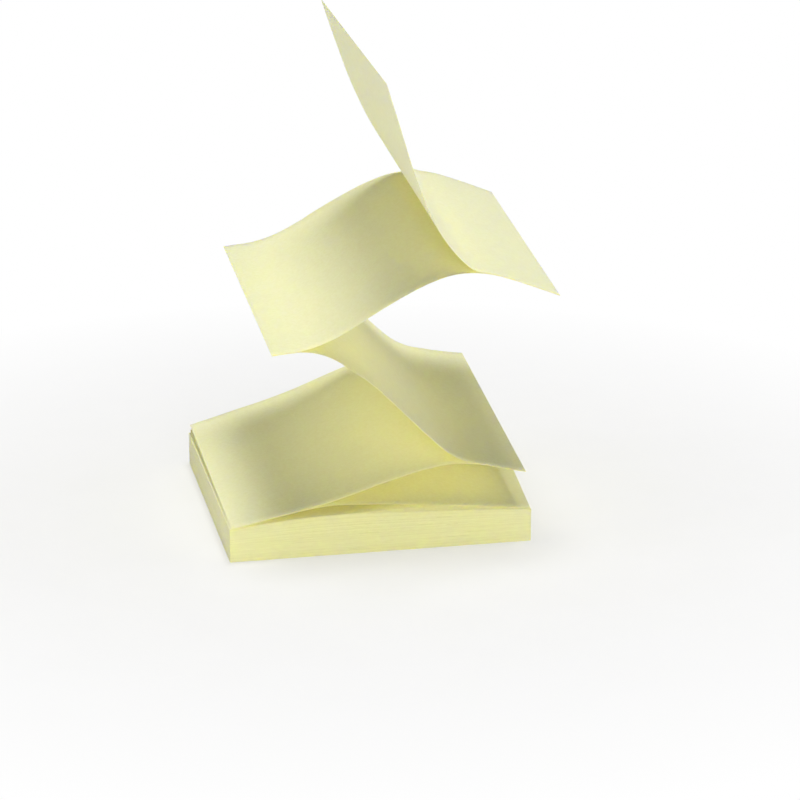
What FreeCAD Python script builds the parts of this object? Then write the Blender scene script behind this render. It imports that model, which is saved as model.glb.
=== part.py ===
import FreeCAD, Part
import os
from math import atan2, asin, cos, degrees, radians, sin

from FreeCAD import Vector

os.makedirs("parts", exist_ok=True)

# The pad stands on Z = 0 with the middle of its base at the origin. X runs between the two ends
# where the notes are bonded in turn, the front edges face -Y, and +Z is up. Sizes are in
# millimetres and angles in degrees.

# Driving dimensions
note_side = 76.2         # every note is a square
note_thickness = 0.08    # one sheet of paper
adhesive_film = 0.02     # the adhesive strip's own thickness, between two bonded notes
block_height = 8.55      # the 94 notes that still lie together, at their bonded ends
landing_gap = 0.15       # a note that comes down again ends this far above the one below

# How far each note still grips the one under it, from its lower end
grip_6 = 27.0
grip_5 = 22.0
grip_4 = 17.0
grip_3 = 10.0
grip_2 = 6.0
grip_1 = 14.5

# The block's loosened top: (share of the side from the left end, rise above the block's ends)
block_dome = [(0.05, 0.5), (0.16, 1.3), (0.29, 1.9), (0.42, 2.0), (0.60, 1.5), (0.79, 1.0)]

# Each lifted note bends along its length. A bend list gives (share of the note's length from its
# lower end, heading of the paper there). A heading is measured from +X towards +Z, so that 0
# runs to the right, 90 straight up and 180 to the left.
bends_6 = [(0.47, 2.5), (0.65, -1.5), (0.82, -7.5), (1, -6.5)]
bends_5 = [(0.39, 173.5), (0.50, 176.5), (0.60, 177.5), (0.71, 186.5), (0.79, 191.5),
           (0.89, 192.5), (1, 191.5)]
bends_4 = [(0.31, 14), (0.45, 19), (0.58, 16), (0.68, 12), (0.79, -5), (0.89, -16), (1, -12)]
bends_3 = [(0.17, 169), (0.24, 151), (0.30, 137), (0.38, 134), (0.49, 133), (0.59, 134),
           (0.68, 143), (0.76, 142), (0.84, 160), (0.92, 183), (1, 187)]
bends_2 = [(0.13, 16), (0.21, 27), (0.30, 33), (0.41, 30), (0.50, 27), (0.59, 19), (0.66, 4),
           (0.72, -7), (0.80, -19), (0.89, -22), (1, -23)]
bends_1 = [(0.27, 169), (0.32, 141), (0.37, 131), (0.43, 126), (0.50, 117), (0.60, 112),
           (0.76, 107), (1, 108)]

# A note runs straight back from its front edge. Each pair is how much that line climbs towards
# the back, and how much it turns to the left, at the note's upper end.
upper_6 = 7.5, -2.0
upper_5 = 0.5, 0.0
upper_4 = 6.0, -0.5
upper_3 = 5.5, 0.5
upper_2 = 5.5, -0.5
upper_1 = 5.0, 1.5
peel_4 = 1.5             # note_4 has come off note_5 at the back: its lean at its lower end

stations = 48            # equal steps along a note
step = note_side / stations
landing_passes = 12      # corrections that bring a note's end down to its height


def ruling(lean, yaw):
    """The unit vector along which a note runs straight back."""
    lean, yaw = radians(lean), radians(yaw)
    return Vector(-sin(yaw), cos(yaw) * cos(lean), cos(yaw) * sin(lean))


def lean_of(line):
    return degrees(atan2(line.z, line.y))


def yaw_of(line):
    return -degrees(asin(line.x))


def blend(pairs, share):
    """Straight interpolation in a list of (share, value)."""
    for (a, low), (b, high) in zip(pairs, pairs[1:]):
        if share <= b:
            return low + (high - low) * (share - a) / (b - a)
    return pairs[-1][1]


def eased(share, start, settled):
    """Grows gently from 0 at start to 1 at settled."""
    t = min(max((share - start) / (settled - start), 0), 1)
    return t * t * (3 - 2 * t)


def spline(points):
    curve = Part.BSplineCurve()
    curve.interpolate(points)
    return curve.toShape()


def normals(edge, lines):
    """Unit vectors square to the paper at each station of a note's front edge."""
    out = []
    last = len(edge) - 1
    for i, line in enumerate(lines):
        along = edge[min(i + 1, last)] - edge[max(i - 1, 0)]
        out.append(along.cross(line).normalize())
    return out


def off_upper_face(edge, lines):
    """The same unit vectors, all turned to the side of the paper's upper face."""
    return [normal if normal.z > 0 else normal * -1 for normal in normals(edge, lines)]


def not_below(rest, away, place):
    """place, raised along away as far as it would lie lower than rest."""
    return place + away * max((rest - place).dot(away), 0)


def heading_of(along, line):
    """The heading of the paper that runs along, from -90 to 270."""
    heading = degrees(atan2(along.dot(ruling(90 + lean_of(line), 0)), along.x)) % 360
    return heading - 360 if heading > 270 else heading


def run_on(note, rest, leans, yaws, turn, tilt):
    """Carries a note on from its held stations, with every heading turned by tilt.

    rest holds the stations, lines and outward vectors of the same note laid wholly on the one
    under it. The paper lies there wherever its bends would take it lower.
    """
    edge, lines = list(note[0]), list(note[1])
    for i in range(len(edge), stations + 1):
        middle = (i - 0.5) / stations
        angle = radians(blend(turn, middle) + tilt)
        up = ruling(90 + leans(middle), 0)
        point = edge[-1] + Vector(cos(angle), 0, 0) * step + up * (sin(angle) * step)
        line = ruling(leans(i / stations), yaws(i / stations))
        rest_point, rest_line, away = rest[i]
        point = not_below(rest_point, away, point)
        back = not_below(rest_point + rest_line * note_side, away, point + line * note_side)
        edge.append(point)
        lines.append((back - point).normalize())
    return edge, lines


def pull_up(under, grip, rise, bends, upper, next_grip, peel=None, landing=None):
    """The next note up: its front edge and the line back at each station.

    under holds the same for what the note grips, in the order in which this note runs. upper is
    the lean and yaw at the upper end, next_grip what the note above holds there, and landing the
    height of the upper end, for a note that comes down on another.
    """
    below, below_lines = under
    away = off_upper_face(below, below_lines)
    laid = [point + vector * rise for point, vector in zip(below, away)]
    rest = list(zip(laid, below_lines, away))
    held = int(grip / step) + 1
    start = (held - 1) / stations
    settled = 1 - next_grip / note_side
    edge, lines = laid[:held], list(below_lines[:held])
    turn = [(start, heading_of(edge[-1] - edge[-2], lines[-1]))]
    turn += [bend for bend in bends if bend[0] > start]
    lean, yaw = upper
    if peel is None:
        first_lean, first_yaw = lean_of(lines[-1]), yaw_of(lines[-1])

        def leans(share):
            return first_lean + (lean - first_lean) * eased(share, start, settled)

        def yaws(share):
            return first_yaw + (yaw - first_yaw) * eased(share, start, settled)
    else:
        def leans(share):
            return peel + (lean - peel) * share

        def yaws(share):
            return yaw * share

        lines = [ruling(leans(i / stations), yaws(i / stations)) for i in range(held)]
    note = run_on((edge, lines), rest, leans, yaws, turn, 0)
    if landing is None:
        return note
    tilt = 0
    for _ in range(landing_passes):
        end = note[0][-1]
        tilt += degrees((landing - end.z) / (end.x - edge[-1].x))
        note = run_on((edge, lines), rest, leans, yaws, turn, tilt)
    return note


def turned(note):
    """A note's stations from its upper end, where the next note starts."""
    edge, lines = note
    return edge[::-1], lines[::-1]


def sheet(note):
    """The solid of one note: paper of even thickness about the middle surface."""
    edge, lines = note
    square = normals(edge, lines)
    half = note_thickness / 2

    def along(side, back):
        points = [p + n * (side * half) + r * back for p, n, r in zip(edge, square, lines)]
        return points, spline(points)

    upper_front, upper_front_edge = along(1, 0)
    upper_back, upper_back_edge = along(1, note_side)
    lower_front, lower_front_edge = along(-1, 0)
    lower_back, lower_back_edge = along(-1, note_side)

    def across(end):
        return (Part.makeLine(upper_front[end], upper_back[end]),
                Part.makeLine(lower_front[end], lower_back[end]))

    sides = [(upper_front_edge, upper_back_edge), (lower_front_edge, lower_back_edge),
             (upper_front_edge, lower_front_edge), (upper_back_edge, lower_back_edge),
             across(0), across(-1)]
    return closed([Part.makeRuledSurface(a, b) for a, b in sides])


def closed(faces):
    shell = Part.makeShell(faces)
    shell.sewShape()
    solid = Part.makeSolid(shell)
    if solid.Volume < 0:
        solid.reverse()
    return solid


def block_top():
    """The line of the block's upper face across its front, from left to right."""
    left = -note_side / 2
    points = [Vector(left, -note_side / 2, block_height)]
    for share, rise in block_dome:
        points.append(Vector(left + share * note_side, -note_side / 2, block_height + rise))
    points.append(Vector(-left, -note_side / 2, block_height))
    return spline(points)


def note_block():
    """The notes that still lie together, as one solid."""
    top = block_top()
    left, right = top.Vertexes[0].Point, top.Vertexes[-1].Point
    left_foot, right_foot = Vector(left.x, left.y, 0), Vector(right.x, right.y, 0)
    outline = Part.Wire([top, Part.makeLine(right, right_foot),
                         Part.makeLine(right_foot, left_foot), Part.makeLine(left_foot, left)])
    return Part.Face(outline).extrude(Vector(0, note_side, 0))


def lifted_notes():
    """note_6 on the block up to note_1, which stands free at the top."""
    straight_back = Vector(0, 1, 0)
    top = block_top().discretize(Distance=step)
    block = (top, [straight_back] * len(top))
    pitch = note_thickness + adhesive_film
    on_block = block_height + pitch - note_thickness / 2 + landing_gap
    note_6 = pull_up(block, grip_6, pitch - note_thickness / 2, bends_6, upper_6, grip_5,
                     landing=on_block)
    on_note_6 = note_6[0][0].z + note_thickness + landing_gap
    note_5 = pull_up(turned(note_6), grip_5, pitch, bends_5, upper_5, grip_4, landing=on_note_6)
    note_4 = pull_up(turned(note_5), grip_4, pitch, bends_4, upper_4, grip_3, peel=peel_4)
    note_3 = pull_up(turned(note_4), grip_3, pitch, bends_3, upper_3, grip_2)
    note_2 = pull_up(turned(note_3), grip_2, pitch, bends_2, upper_2, grip_1)
    note_1 = pull_up(turned(note_2), grip_1, pitch, bends_1, upper_1, 0)
    return {"note_1": note_1, "note_2": note_2, "note_3": note_3,
            "note_4": note_4, "note_5": note_5, "note_6": note_6}


note_block().exportStep("parts/note_block.step")
for name, note in lifted_notes().items():
    sheet(note).exportStep(f"parts/{name}.step")
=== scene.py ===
from math import asin, atan2, cos, degrees, pi, radians, sin

import bpy
import numpy as np
from mathutils import Matrix, Vector


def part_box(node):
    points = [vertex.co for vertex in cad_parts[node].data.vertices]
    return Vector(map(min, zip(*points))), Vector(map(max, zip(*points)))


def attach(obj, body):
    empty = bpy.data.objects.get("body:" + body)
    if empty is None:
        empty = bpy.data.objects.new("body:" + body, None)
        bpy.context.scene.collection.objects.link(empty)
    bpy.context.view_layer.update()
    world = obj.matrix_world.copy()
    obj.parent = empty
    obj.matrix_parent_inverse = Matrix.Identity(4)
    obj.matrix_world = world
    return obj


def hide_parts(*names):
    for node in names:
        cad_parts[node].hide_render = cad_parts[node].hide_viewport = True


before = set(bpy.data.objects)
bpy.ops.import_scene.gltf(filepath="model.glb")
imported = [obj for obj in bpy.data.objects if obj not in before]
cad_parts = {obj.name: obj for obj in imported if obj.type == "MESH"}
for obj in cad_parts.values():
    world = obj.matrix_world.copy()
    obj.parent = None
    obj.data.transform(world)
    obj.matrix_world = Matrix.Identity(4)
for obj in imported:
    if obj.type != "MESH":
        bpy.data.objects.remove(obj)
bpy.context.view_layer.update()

# The notes are built again here as fine, even meshes, by the same rules as the solids that they
# stand for, and the block as its separate sheets. Lengths are in millimetres and angles in
# degrees up to the point where a mesh, lamp or camera is made, which takes metres and radians.
MM = 0.001

# Sizes of the pad
block_low, block_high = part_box("note_block")
note_side = (block_high.x - block_low.x) / MM
note_thickness = 0.08
adhesive_film = 0.02
block_height = 8.55
block_sheets = 94
landing_gap = 0.15         # a note that comes down again ends this far above the one below
grips = {6: 27.0, 5: 22.0, 4: 17.0, 3: 10.0, 2: 6.0, 1: 14.5}

# The block's loosened top: (share of the side from the left end, rise above the block's ends)
block_dome = [(0, 0), (0.05, 0.5), (0.16, 1.3), (0.29, 1.9), (0.42, 2.0), (0.60, 1.5),
              (0.79, 1.0), (1, 0)]

# The bends of each lifted note: (share of its length from the lower end, heading of the paper).
# A heading is measured from +X towards +Z.
bends = {
    6: [(0.47, 2.5), (0.65, -1.5), (0.82, -7.5), (1, -6.5)],
    5: [(0.39, 173.5), (0.50, 176.5), (0.60, 177.5), (0.71, 186.5), (0.79, 191.5), (0.89, 192.5),
        (1, 191.5)],
    4: [(0.31, 14), (0.45, 19), (0.58, 16), (0.68, 12), (0.79, -5), (0.89, -16), (1, -12)],
    3: [(0.17, 169), (0.24, 151), (0.30, 137), (0.38, 134), (0.49, 133), (0.59, 134),
        (0.68, 143), (0.76, 142), (0.84, 160), (0.92, 183), (1, 187)],
    2: [(0.13, 16), (0.21, 27), (0.30, 33), (0.41, 30), (0.50, 27), (0.59, 19), (0.66, 4),
        (0.72, -7), (0.80, -19), (0.89, -22), (1, -23)],
    1: [(0.27, 169), (0.32, 141), (0.37, 131), (0.43, 126), (0.50, 117), (0.60, 112),
        (0.76, 107), (1, 108)],
}

# Lean and yaw of the line that runs straight back, at each note's upper end
upper_ends = {6: (7.5, -2.0), 5: (0.5, 0.0), 4: (6.0, -0.5), 3: (5.5, 0.5), 2: (5.5, -0.5),
              1: (5.0, 1.5)}
peel_4 = 1.5               # note 4 has come off note 5 at the back: its lean at its lower end

stations = 48              # equal steps along a note
step = note_side / stations
landing_passes = 12        # corrections that bring a note's end down to its height
dome_samples = 2001


# The lie of the notes

def ruling(lean, yaw):
    """The unit vector along which a note runs straight back."""
    lean, yaw = radians(lean), radians(yaw)
    return np.array([-sin(yaw), cos(yaw) * cos(lean), cos(yaw) * sin(lean)])


def lean_of(line):
    return degrees(atan2(line[2], line[1]))


def yaw_of(line):
    return -degrees(asin(line[0]))


def eased(share, start, settled):
    """Grows gently from 0 at start to 1 at settled."""
    t = np.clip((share - start) / (settled - start), 0, 1)
    return t * t * (3 - 2 * t)


def unit(vectors):
    return vectors / np.linalg.norm(vectors, axis=-1, keepdims=True)


def spline_through(places, values, wanted):
    """The natural cubic spline through values at places, read at the wanted places."""
    places, values = np.asarray(places, float), np.asarray(values, float)
    upright = (-1, *[1] * (values.ndim - 1))
    gap = np.diff(places)
    count = len(places)
    system = np.eye(count)
    slope = np.diff(values, axis=0) / gap.reshape(upright)
    bend = np.zeros_like(values)
    for i in range(1, count - 1):
        system[i, i - 1:i + 2] = gap[i - 1], 2 * (gap[i - 1] + gap[i]), gap[i]
        bend[i] = 6 * (slope[i] - slope[i - 1])
    second = np.linalg.solve(system, bend)
    span = np.clip(np.searchsorted(places, wanted) - 1, 0, count - 2)
    width = gap[span].reshape(upright)
    b = (wanted - places[span]).reshape(upright) / width
    a = 1 - b
    curve = (a ** 3 - a) * second[span] + (b ** 3 - b) * second[span + 1]
    return a * values[span] + b * values[span + 1] + curve * width ** 2 / 6


def dome_rise(share):
    """How far the block's top has risen at that share of the side."""
    places, rises = zip(*block_dome)
    return spline_through(places, rises, share)


def block_top():
    """Stations along the front of the block's top, a step apart along the paper."""
    share = np.linspace(0, 1, dome_samples)
    x = (share - 0.5) * note_side
    z = block_height + dome_rise(share)
    along = np.concatenate([[0], np.cumsum(np.hypot(np.diff(x), np.diff(z)))])
    wanted = np.arange(stations + 1) * step
    front = np.full(stations + 1, -note_side / 2)
    return np.stack([np.interp(wanted, along, x), front, np.interp(wanted, along, z)], 1)


def normals(edge, lines):
    """Unit vectors square to the paper at each station of a note's front edge."""
    return unit(np.cross(np.gradient(edge, axis=0), lines))


def off_upper_face(edge, lines):
    """The same unit vectors, all turned to the side of the paper's upper face."""
    square = normals(edge, lines)
    return square * np.where(square[:, 2:] > 0, 1, -1)


def not_below(rest, away, place):
    """place, raised along away as far as it would lie lower than rest."""
    return place + away * max((rest - place) @ away, 0)


def heading_of(along, line):
    """The heading of the paper that runs along, from -90 to 270."""
    heading = degrees(atan2(along @ ruling(90 + lean_of(line), 0), along[0])) % 360
    return heading - 360 if heading > 270 else heading


def run_on(held, rest, leans, yaws, turn, tilt):
    """Carries a note on from its held stations, with every heading turned by tilt.

    rest holds the stations, lines and outward vectors of the same note laid wholly on the one
    under it. The paper lies there wherever its bends would take it lower.
    """
    edge, lines = [list(part) for part in held]
    shares, headings = zip(*turn)
    for i in range(len(edge), stations + 1):
        middle = (i - 0.5) / stations
        angle = radians(np.interp(middle, shares, headings) + tilt)
        up = ruling(90 + leans(middle), 0)
        point = edge[-1] + step * (np.array([cos(angle), 0, 0]) + up * sin(angle))
        line = ruling(leans(i / stations), yaws(i / stations))
        rest_point, rest_line, away = rest[i]
        point = not_below(rest_point, away, point)
        back = not_below(rest_point + rest_line * note_side, away, point + line * note_side)
        edge.append(point)
        lines.append(unit(back - point))
    return np.array(edge), np.array(lines)


def pull_up(number, under, rise, next_grip, peel=None, landing=None):
    """The front edge of a lifted note and the line back at each of its stations.

    under holds the same for what the note grips, in the order in which this note runs. next_grip
    is what the note above holds at the upper end, and landing the height of that end, for a note
    that comes down on another.
    """
    below, below_lines = under
    away = off_upper_face(below, below_lines)
    laid = below + away * rise
    rest = list(zip(laid, below_lines, away))
    held = int(grips[number] / step) + 1
    start = (held - 1) / stations
    settled = 1 - next_grip / note_side
    edge, lines = laid[:held], below_lines[:held]
    turn = [(start, heading_of(edge[-1] - edge[-2], lines[-1]))]
    turn += [bend for bend in bends[number] if bend[0] > start]
    lean, yaw = upper_ends[number]
    if peel is None:
        first_lean, first_yaw = lean_of(lines[-1]), yaw_of(lines[-1])

        def leans(share):
            return first_lean + (lean - first_lean) * eased(share, start, settled)

        def yaws(share):
            return first_yaw + (yaw - first_yaw) * eased(share, start, settled)
    else:
        def leans(share):
            return peel + (lean - peel) * share

        def yaws(share):
            return yaw * share

        lines = np.array([ruling(leans(i / stations), yaws(i / stations)) for i in range(held)])
    note = run_on((edge, lines), rest, leans, yaws, turn, 0)
    if landing is None:
        return note
    tilt = 0
    for _ in range(landing_passes):
        end = note[0][-1]
        tilt += degrees((landing - end[2]) / (end[0] - edge[-1][0]))
        note = run_on((edge, lines), rest, leans, yaws, turn, tilt)
    return note


def turned(note):
    """A note's stations from its upper end, where the next note starts."""
    return note[0][::-1], note[1][::-1]


def lifted_notes():
    """The stations of note 6, which lies on the block, up to note 1."""
    top = block_top()
    block = (top, np.tile([0.0, 1.0, 0.0], (len(top), 1)))
    pitch = note_thickness + adhesive_film
    on_block = block_height + pitch - note_thickness / 2 + landing_gap
    notes = {6: pull_up(6, block, pitch - note_thickness / 2, grips[5], landing=on_block)}
    on_note_6 = notes[6][0][0][2] + note_thickness + landing_gap
    notes[5] = pull_up(5, turned(notes[6]), pitch, grips[4], landing=on_note_6)
    notes[4] = pull_up(4, turned(notes[5]), pitch, grips[3], peel=peel_4)
    notes[3] = pull_up(3, turned(notes[4]), pitch, grips[2])
    notes[2] = pull_up(2, turned(notes[3]), pitch, grips[1])
    notes[1] = pull_up(1, turned(notes[2]), pitch, 0)
    return notes


# Meshes

def mesh_piece(name, points, faces, smooth, slots, materials):
    """An object whose mesh has the given faces, each smooth or flat and in its material slot."""
    mesh = bpy.data.meshes.new(name)
    mesh.from_pydata((np.asarray(points) * MM).tolist(), [], faces)
    mesh.polygons.foreach_set("use_smooth", smooth)
    mesh.polygons.foreach_set("material_index", slots)
    for material in materials:
        mesh.materials.append(material)
    mesh.update()
    piece = bpy.data.objects.new(name, mesh)
    bpy.context.scene.collection.objects.link(piece)
    return piece


def border(rows, columns):
    """The places in a grid that lie on its border, in their order around it."""
    out = [(0, j) for j in range(columns)]
    out += [(i, columns - 1) for i in range(1, rows)]
    out += [(rows - 1, j) for j in reversed(range(columns - 1))]
    out += [(i, 0) for i in reversed(range(1, rows - 1))]
    return out


def sheet_faces(rows, columns, offset=0, rounded=False):
    """Faces of a closed sheet whose upper grid of points comes first, then its lower one.

    A sheet with rounded edges has a last row of points, which goes around its middle. Returns the
    faces and how many of them, at the start, are the two wide sides.
    """
    size = rows * columns

    def upper(i, j):
        return offset + i * columns + j

    def lower(i, j):
        return upper(i, j) + size

    faces = []
    for i in range(rows - 1):
        for j in range(columns - 1):
            faces.append((upper(i, j), upper(i + 1, j), upper(i + 1, j + 1), upper(i, j + 1)))
            faces.append((lower(i, j), lower(i, j + 1), lower(i + 1, j + 1), lower(i + 1, j)))
    wide = len(faces)
    around = border(rows, columns)
    loops = [[upper(i, j) for i, j in around], [lower(i, j) for i, j in around]]
    if rounded:
        loops.insert(1, [offset + 2 * size + k for k in range(len(around))])
    for above, below in zip(loops, loops[1:]):
        for k in range(len(around)):
            faces.append((above[k - 1], above[k], below[k], below[k - 1]))
    return faces, wide


# The mesh of a lifted note
note_rows = 2 * stations + 1
note_columns = 33
edge_round = 0.05          # how far in from its edges the rounding of a note starts


def note_surface(edge, lines, inset):
    """A grid of points on a note's middle surface, drawn in from its four edges by inset."""
    edge = edge.copy()
    edge[0] += inset * unit(edge[1] - edge[0])
    edge[-1] += inset * unit(edge[-2] - edge[-1])
    back = np.linspace(inset, note_side - inset, note_columns)
    return edge[:, None] + lines[:, None] * back[None, :, None]


def note_piece(number, note, materials):
    """One lifted note as a closed sheet of even thickness, with softly rounded edges."""
    edge, lines = note
    coarse = np.arange(stations + 1)
    fine = np.linspace(0, stations, note_rows)
    edge = spline_through(coarse, edge, fine)
    lines = unit(spline_through(coarse, lines, fine))
    half = normals(edge, lines)[:, None] * note_thickness / 2
    middle = note_surface(edge, lines, edge_round)
    outline = note_surface(edge, lines, 0)
    rim = [outline[i, j] for i, j in border(note_rows, note_columns)]
    points = np.concatenate([(middle + half).reshape(-1, 3), (middle - half).reshape(-1, 3), rim])
    faces, wide = sheet_faces(note_rows, note_columns, rounded=True)
    edges = len(faces) - wide
    name = f"note_{number}_sheet"
    piece = mesh_piece(name, points, faces, [True] * wide + [False] * edges,
                       [0] * wide + [1] * edges, materials)
    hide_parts(f"note_{number}")
    return piece


# How the block's sheets lie: most of the rise is in the upper ones, and some gaps are wider
block_seed = 7
block_rows = 145
first_loose_share = 0.12   # of the block's height: no gap opens below it
loosening_power = 1.3
gap_unevenness = 0.6
edge_margin = 0.05         # keeps every sheet within the block's sides
edge_shift = 0.02          # how far a sheet's edges stray at most
foot_sheets = 2            # the lowest ones, which lie back at the front
foot_setback = 0.5
painted_end_shade = 0.5       # painted shade, darker on the block's two end faces

# Short stretches in which a sheet's front edge lies back. Their middles and widths are shares of
# the side. A stretch ends gently, at end_widths times its width from its middle.
slit_chance = 0.12
slit_depth = 0.9
slit_middles = (0.25, 0.92)
slit_widths = (0.012, 0.03)
end_widths = 1.6


def gap_shares(random):
    """For each sheet from the lowest, its share of the dome's rise."""
    height = (np.arange(block_sheets) + 1) / block_sheets
    loose = np.clip((height - first_loose_share) / (1 - first_loose_share), 0, 1)
    weight = loose ** loosening_power * np.exp(random.normal(0, gap_unevenness, block_sheets))
    return np.cumsum(weight) / weight.sum()


def slit(random, shares):
    """How far a sheet's front edge lies back at each share: mostly nowhere, or in one stretch."""
    if random.random() >= slit_chance:
        return np.zeros_like(shares)
    middle = random.uniform(*slit_middles)
    width = random.uniform(*slit_widths)
    return slit_depth * np.clip(end_widths - np.abs(shares - middle) / width, 0, 1)


def block_sheet_points(random, shares, top, setback):
    """Points of one sheet of the block, which lies a little its own way."""
    half_side = note_side / 2 - edge_margin
    shift_x, shift_front, shift_back = random.uniform(-edge_shift, edge_shift, 3)
    x = (2 * shares - 1) * half_side + shift_x
    front = -half_side + shift_front + slit(random, shares) + setback
    back = half_side + shift_back
    points = []
    for z in (top, top - note_thickness):
        for i in range(block_rows):
            points.append((x[i], front[i], z[i]))
            points.append((x[i], back, z[i]))
    return points


def block_piece(materials):
    """The notes that still lie together, each as its own closed sheet, in one mesh."""
    random = np.random.default_rng(block_seed)
    shares = np.linspace(0, 1, block_rows)
    rise = dome_rise(shares)
    loosening = gap_shares(random)
    points, faces, smooth, slots, tones = [], [], [], [], []
    for k in range(block_sheets):
        sheet, wide = sheet_faces(block_rows, 2, offset=len(points))
        top = block_height * (k + 1) / block_sheets + rise * loosening[k]
        setback = foot_setback if k < foot_sheets else 0
        points += block_sheet_points(random, shares, top, setback)
        faces += sheet
        rim = len(sheet) - wide
        smooth += [True] * wide + [False] * rim
        slots += [0] * wide + [1] * rim
        # Each sheet's own random tone, and painted shade on its two end faces, the block's left
        # and right sides
        sheet_tones = np.full(len(sheet), random.uniform(0, 1))
        left_end, right_end = wide + 1, wide + block_rows + 1
        sheet_tones[[left_end, right_end]] -= painted_end_shade
        tones += list(sheet_tones)
    piece = mesh_piece("note_block_sheets", points, faces, smooth, slots, materials)
    tone = piece.data.attributes.new("sheet_tone_and_end_shade", "FLOAT", "FACE")
    tone.data.foreach_set("value", tones)
    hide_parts("note_block")
    return piece


# Materials

paper_colour = (0.985, 0.96, 0.58, 1)
fibre_colour = (0.95, 0.92, 0.51, 1)
edge_colour = (0.98, 0.95, 0.56, 1)
# The edge's darker colour: dull streaks, darker sheets, and the painted shade of the block's end
# faces
dull_and_shaded_edge_colour = (0.90, 0.86, 0.48, 1)

# Each noise: (how many of its blotches lie along a metre, how finely they break up)
cloud_noise = (140, 3)
mottle_noise = (1200, 4)
grain_noise = (3200, 3)
fray_noise = (3000, 3)
noise_range = (0.3, 0.7)

# A note's wide side
cloud_share = 0.25
face_tone_range = (0.45, 0.8)
face_roughness = (0.66, 0.84)
mottle_height = 1.2        # next to the grain's height
face_bump = 0.03

# A note's cut edge
streak_scale = (0.12, 0.12, 1)
sheet_tone_share = 0.5
edge_tone_range = (0.35, 1.05)
edge_roughness = (0.75, 0.9)
edge_bump = 0.02

# What both have from the paper: it is matt, and lets some light through that turns golden
bump_strength = 0.6
paper_values = {
    "Specular IOR Level": 0.04,
    "Sheen Weight": 0.1,
    "Sheen Roughness": 0.6,
    "Subsurface Weight": 1.0,
    "Subsurface Radius": (1.0, 0.9, 0.08),
    "Subsurface Scale": 0.06 * MM,
}


def new_material(name):
    material = bpy.data.materials.new(name)
    material.use_nodes = True
    return material, material.node_tree.nodes, material.node_tree.links


def noise(nodes, links, source, scale, detail):
    texture = nodes.new("ShaderNodeTexNoise")
    texture.inputs["Scale"].default_value = scale
    texture.inputs["Detail"].default_value = detail
    links.new(source, texture.inputs["Vector"])
    return texture.outputs["Fac"]


def ranged(nodes, links, value, wanted, usual=noise_range):
    """value, taken from its usual range to the wanted one."""
    node = nodes.new("ShaderNodeMapRange")
    for socket, end in zip(("From Min", "From Max", "To Min", "To Max"), (*usual, *wanted)):
        node.inputs[socket].default_value = end
    links.new(value, node.inputs["Value"])
    return node.outputs["Result"]


def mixed(nodes, links, factor, first, second):
    node = nodes.new("ShaderNodeMix")
    node.data_type = "RGBA"
    links.new(factor, node.inputs["Factor"])
    node.inputs["A"].default_value = first
    node.inputs["B"].default_value = second
    return node.outputs["Result"]


def summed(nodes, links, first, second, share):
    """first plus share of second."""
    node = nodes.new("ShaderNodeMath")
    node.operation = "MULTIPLY_ADD"
    links.new(second, node.inputs[0])
    node.inputs[1].default_value = share
    links.new(first, node.inputs[2])
    return node.outputs["Value"]


def paper_shader(nodes, links, colour, rough, height, bump_depth):
    """Matt, slightly see-through paper."""
    shader = nodes["Principled BSDF"]
    links.new(colour, shader.inputs["Base Color"])
    links.new(rough, shader.inputs["Roughness"])
    for socket, value in paper_values.items():
        shader.inputs[socket].default_value = value
    bump = nodes.new("ShaderNodeBump")
    bump.inputs["Distance"].default_value = bump_depth * MM
    bump.inputs["Strength"].default_value = bump_strength
    links.new(height, bump.inputs["Height"])
    links.new(bump.outputs["Normal"], shader.inputs["Normal"])


def face_material():
    """The wide side of a note: the pulp's clouds and mottle, and a soft tooth."""
    material, nodes, links = new_material("note_paper")
    place = nodes.new("ShaderNodeTexCoord").outputs["Object"]
    cloud = noise(nodes, links, place, *cloud_noise)
    mottle = noise(nodes, links, place, *mottle_noise)
    grain = noise(nodes, links, place, *grain_noise)
    clouded = summed(nodes, links, mottle, cloud, cloud_share)
    tone = ranged(nodes, links, clouded, (0, 1), face_tone_range)
    colour = mixed(nodes, links, tone, fibre_colour, paper_colour)
    rough = ranged(nodes, links, mottle, face_roughness)
    height = summed(nodes, links, grain, mottle, mottle_height)
    paper_shader(nodes, links, colour, rough, height, face_bump)
    return material


def edge_material():
    """The cut edge of a note: drier and rougher, streaked, each sheet of the block its own."""
    material, nodes, links = new_material("note_edge")
    place = nodes.new("ShaderNodeTexCoord").outputs["Object"]
    streaks = nodes.new("ShaderNodeMapping")
    streaks.inputs["Scale"].default_value = streak_scale
    links.new(place, streaks.inputs["Vector"])
    fray = noise(nodes, links, streaks.outputs["Vector"], *fray_noise)
    # Each sheet's random tone, with painted shade on the block's two end faces
    sheet_tone_and_end_shade = nodes.new("ShaderNodeAttribute")
    sheet_tone_and_end_shade.attribute_name = "sheet_tone_and_end_shade"
    frayed = summed(nodes, links, fray, sheet_tone_and_end_shade.outputs["Fac"], sheet_tone_share)
    tone = ranged(nodes, links, frayed, (0, 1), edge_tone_range)
    colour = mixed(nodes, links, tone, dull_and_shaded_edge_colour, edge_colour)
    rough = ranged(nodes, links, fray, edge_roughness)
    paper_shader(nodes, links, colour, rough, fray, edge_bump)
    return material


# Floor, light and camera

floor_radius = 2500
floor_sides = 96
floor_colour = (0.90, 0.90, 0.89, 1)
light_floor_colour = (0.92, 0.92, 0.92, 1)
speckle_noise = (60, 3)
floor_roughness = 0.9
floor_specular = 0.1

# The floor's shadow shows in part up to shadow_reach from the middle, and then fades out
shadow_reach = 60
shadow_fade = 130
shadow_share = 0.5

# Each lamp: (name, place, size, how bright it alone makes a white surface that faces it)
lamps = [
    ("key", (200, 130, 3000), 1100, 0.67),
    ("front", (0, -1150, 250), 500, 0.43),
    ("left", (-1150, 0, 250), 500, 0.26),
    ("right", (1150, 0, 250), 500, 0.17),
]
lamp_aim = (0, 0, 40)
ambient_light = 0.04
diffuse_bounces = 12       # the pale sheets throw much light on one another

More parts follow.
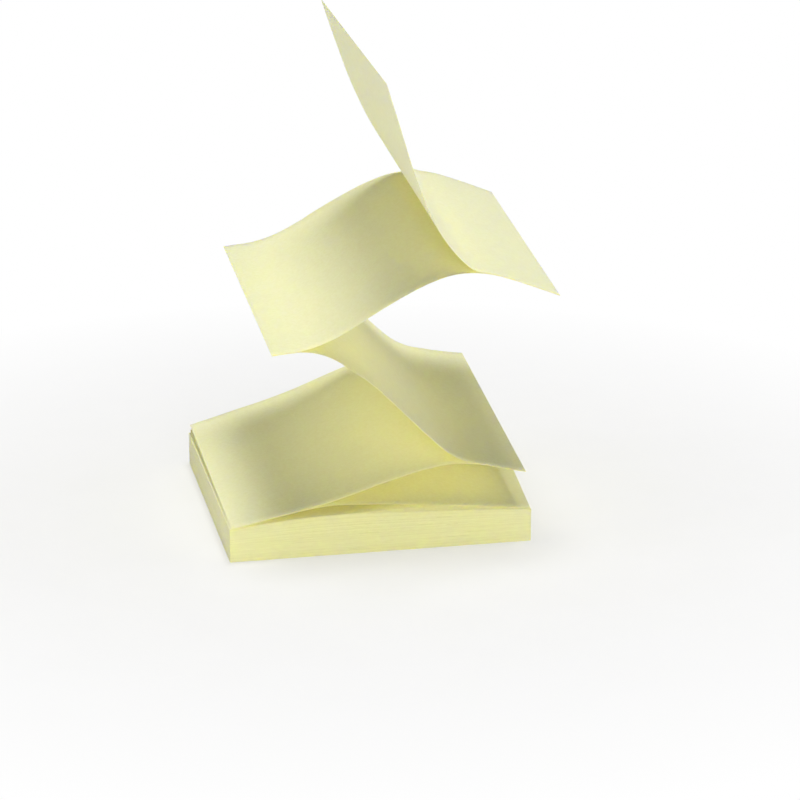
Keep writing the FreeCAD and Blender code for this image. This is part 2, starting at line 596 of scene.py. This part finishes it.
# The photograph's own view
camera_place = (-129.44, -697.41, 258.58)
camera_azimuth = -11.49
camera_elevation = 18.04
camera_roll = -0.035
lens_length = 130.19
sensor_width = 36


def math_node(nodes, links, operation, first, second):
    node = nodes.new("ShaderNodeMath")
    node.operation = operation
    links.new(first, node.inputs[0])
    links.new(second, node.inputs[1])
    return node.outputs["Value"]


def seen_directly(nodes, links):
    """1 for the camera's rays and for those that a mirror or a glass sends on, otherwise 0."""
    path = nodes.new("ShaderNodeLightPath")
    seen = math_node(nodes, links, "MAXIMUM", path.outputs["Is Camera Ray"],
                     path.outputs["Is Glossy Ray"])
    return math_node(nodes, links, "MAXIMUM", seen, path.outputs["Is Transmission Ray"])


def show_mixed(nodes, links, factor, first, second, output):
    """Gives the output first, with as much of second in its place as factor says."""
    mix = nodes.new("ShaderNodeMixShader")
    for source, socket in zip((factor, first, second), mix.inputs):
        links.new(source, socket)
    links.new(mix.outputs["Shader"], output.inputs["Surface"])


def floor_surface(nodes, links, place):
    """The pale, matt, faintly speckled floor itself."""
    shader = nodes["Principled BSDF"]
    speckle = noise(nodes, links, place, *speckle_noise)
    shade = ranged(nodes, links, speckle, (0, 1))
    colour = mixed(nodes, links, shade, floor_colour, light_floor_colour)
    links.new(colour, shader.inputs["Base Color"])
    shader.inputs["Roughness"].default_value = floor_roughness
    shader.inputs["Specular IOR Level"].default_value = floor_specular
    return shader.outputs["BSDF"]


def floor_whiteness(nodes, links, place):
    """How much white is seen in the floor's place: all of it away from the shadow."""
    distance = nodes.new("ShaderNodeVectorMath")
    distance.operation = "LENGTH"
    links.new(place, distance.inputs[0])
    fade = (shadow_reach * MM, (shadow_reach + shadow_fade) * MM)
    share = ranged(nodes, links, distance.outputs["Value"], (1 - shadow_share, 1), fade)
    return math_node(nodes, links, "MULTIPLY", share, seen_directly(nodes, links))


def floor_material():
    """A pale matt floor, seen as white apart from the shadow around the pad."""
    material, nodes, links = new_material("floor")
    place = nodes.new("ShaderNodeTexCoord").outputs["Object"]
    surface = floor_surface(nodes, links, place)
    white = nodes.new("ShaderNodeEmission")
    show_mixed(nodes, links, floor_whiteness(nodes, links, place), surface,
               white.outputs["Emission"], nodes["Material Output"])
    return material


def make_floor():
    """A large disc, an adhesive film's thickness below the pad."""
    turn = [2 * pi * i / floor_sides for i in range(floor_sides)]
    points = [(floor_radius * cos(a), floor_radius * sin(a), -adhesive_film) for a in turn]
    face = tuple(range(floor_sides))
    floor = mesh_piece("floor", points, [face], [False], [0], [floor_material()])


def make_world():
    """Faint light from all around, and a white background."""
    world = bpy.data.worlds.new("studio")
    world.use_nodes = True
    bpy.context.scene.world = world
    nodes, links = world.node_tree.nodes, world.node_tree.links
    light = nodes["Background"]
    white = nodes.new("ShaderNodeBackground")
    for background, strength in ((light, ambient_light), (white, 1)):
        background.inputs["Color"].default_value = (1, 1, 1, 1)
        background.inputs["Strength"].default_value = strength
    show_mixed(nodes, links, seen_directly(nodes, links), light.outputs["Background"],
               white.outputs["Background"], nodes["World Output"])


def area_light(name, place, size, level):
    """A square lamp, as strong as its distance needs for its level."""
    back = Vector(place) - Vector(lamp_aim)
    lamp = bpy.data.lights.new(name, "AREA")
    lamp.size = size * MM
    lamp.energy = level * pi ** 2 * (back.length * MM) ** 2
    lamp_object = bpy.data.objects.new(name, lamp)
    lamp_object.location = Vector(place) * MM
    lamp_object.rotation_euler = back.to_track_quat("Z", "Y").to_euler()
    bpy.context.scene.collection.objects.link(lamp_object)


def make_camera():
    azimuth, elevation = radians(camera_azimuth), radians(camera_elevation)
    back = Vector((sin(azimuth) * cos(elevation), -cos(azimuth) * cos(elevation), sin(elevation)))
    right = Vector((cos(azimuth), sin(azimuth), 0))
    up = back.cross(right)
    axes = Matrix((right, up, back)).transposed()
    turn = axes @ Matrix.Rotation(radians(camera_roll), 3, "Z")
    camera = bpy.data.cameras.new("camera")
    camera.sensor_width = sensor_width
    camera.lens = lens_length
    camera_object = bpy.data.objects.new("camera", camera)
    camera_object.matrix_world = Matrix.Translation(Vector(camera_place) * MM) @ turn.to_4x4()
    bpy.context.scene.collection.objects.link(camera_object)
    bpy.context.scene.camera = camera_object


# Putting the scene together

scene = bpy.context.scene
scene.view_settings.view_transform = "Standard"
scene.cycles.diffuse_bounces = diffuse_bounces
make_camera()
make_world()
for name, place, size, level in lamps:
    area_light(name, place, size, level)
make_floor()

paper = [face_material(), edge_material()]
pieces = [block_piece(paper)]
for number, note in lifted_notes().items():
    pieces.append(note_piece(number, note, paper))
for piece in pieces:
    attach(piece, "root")
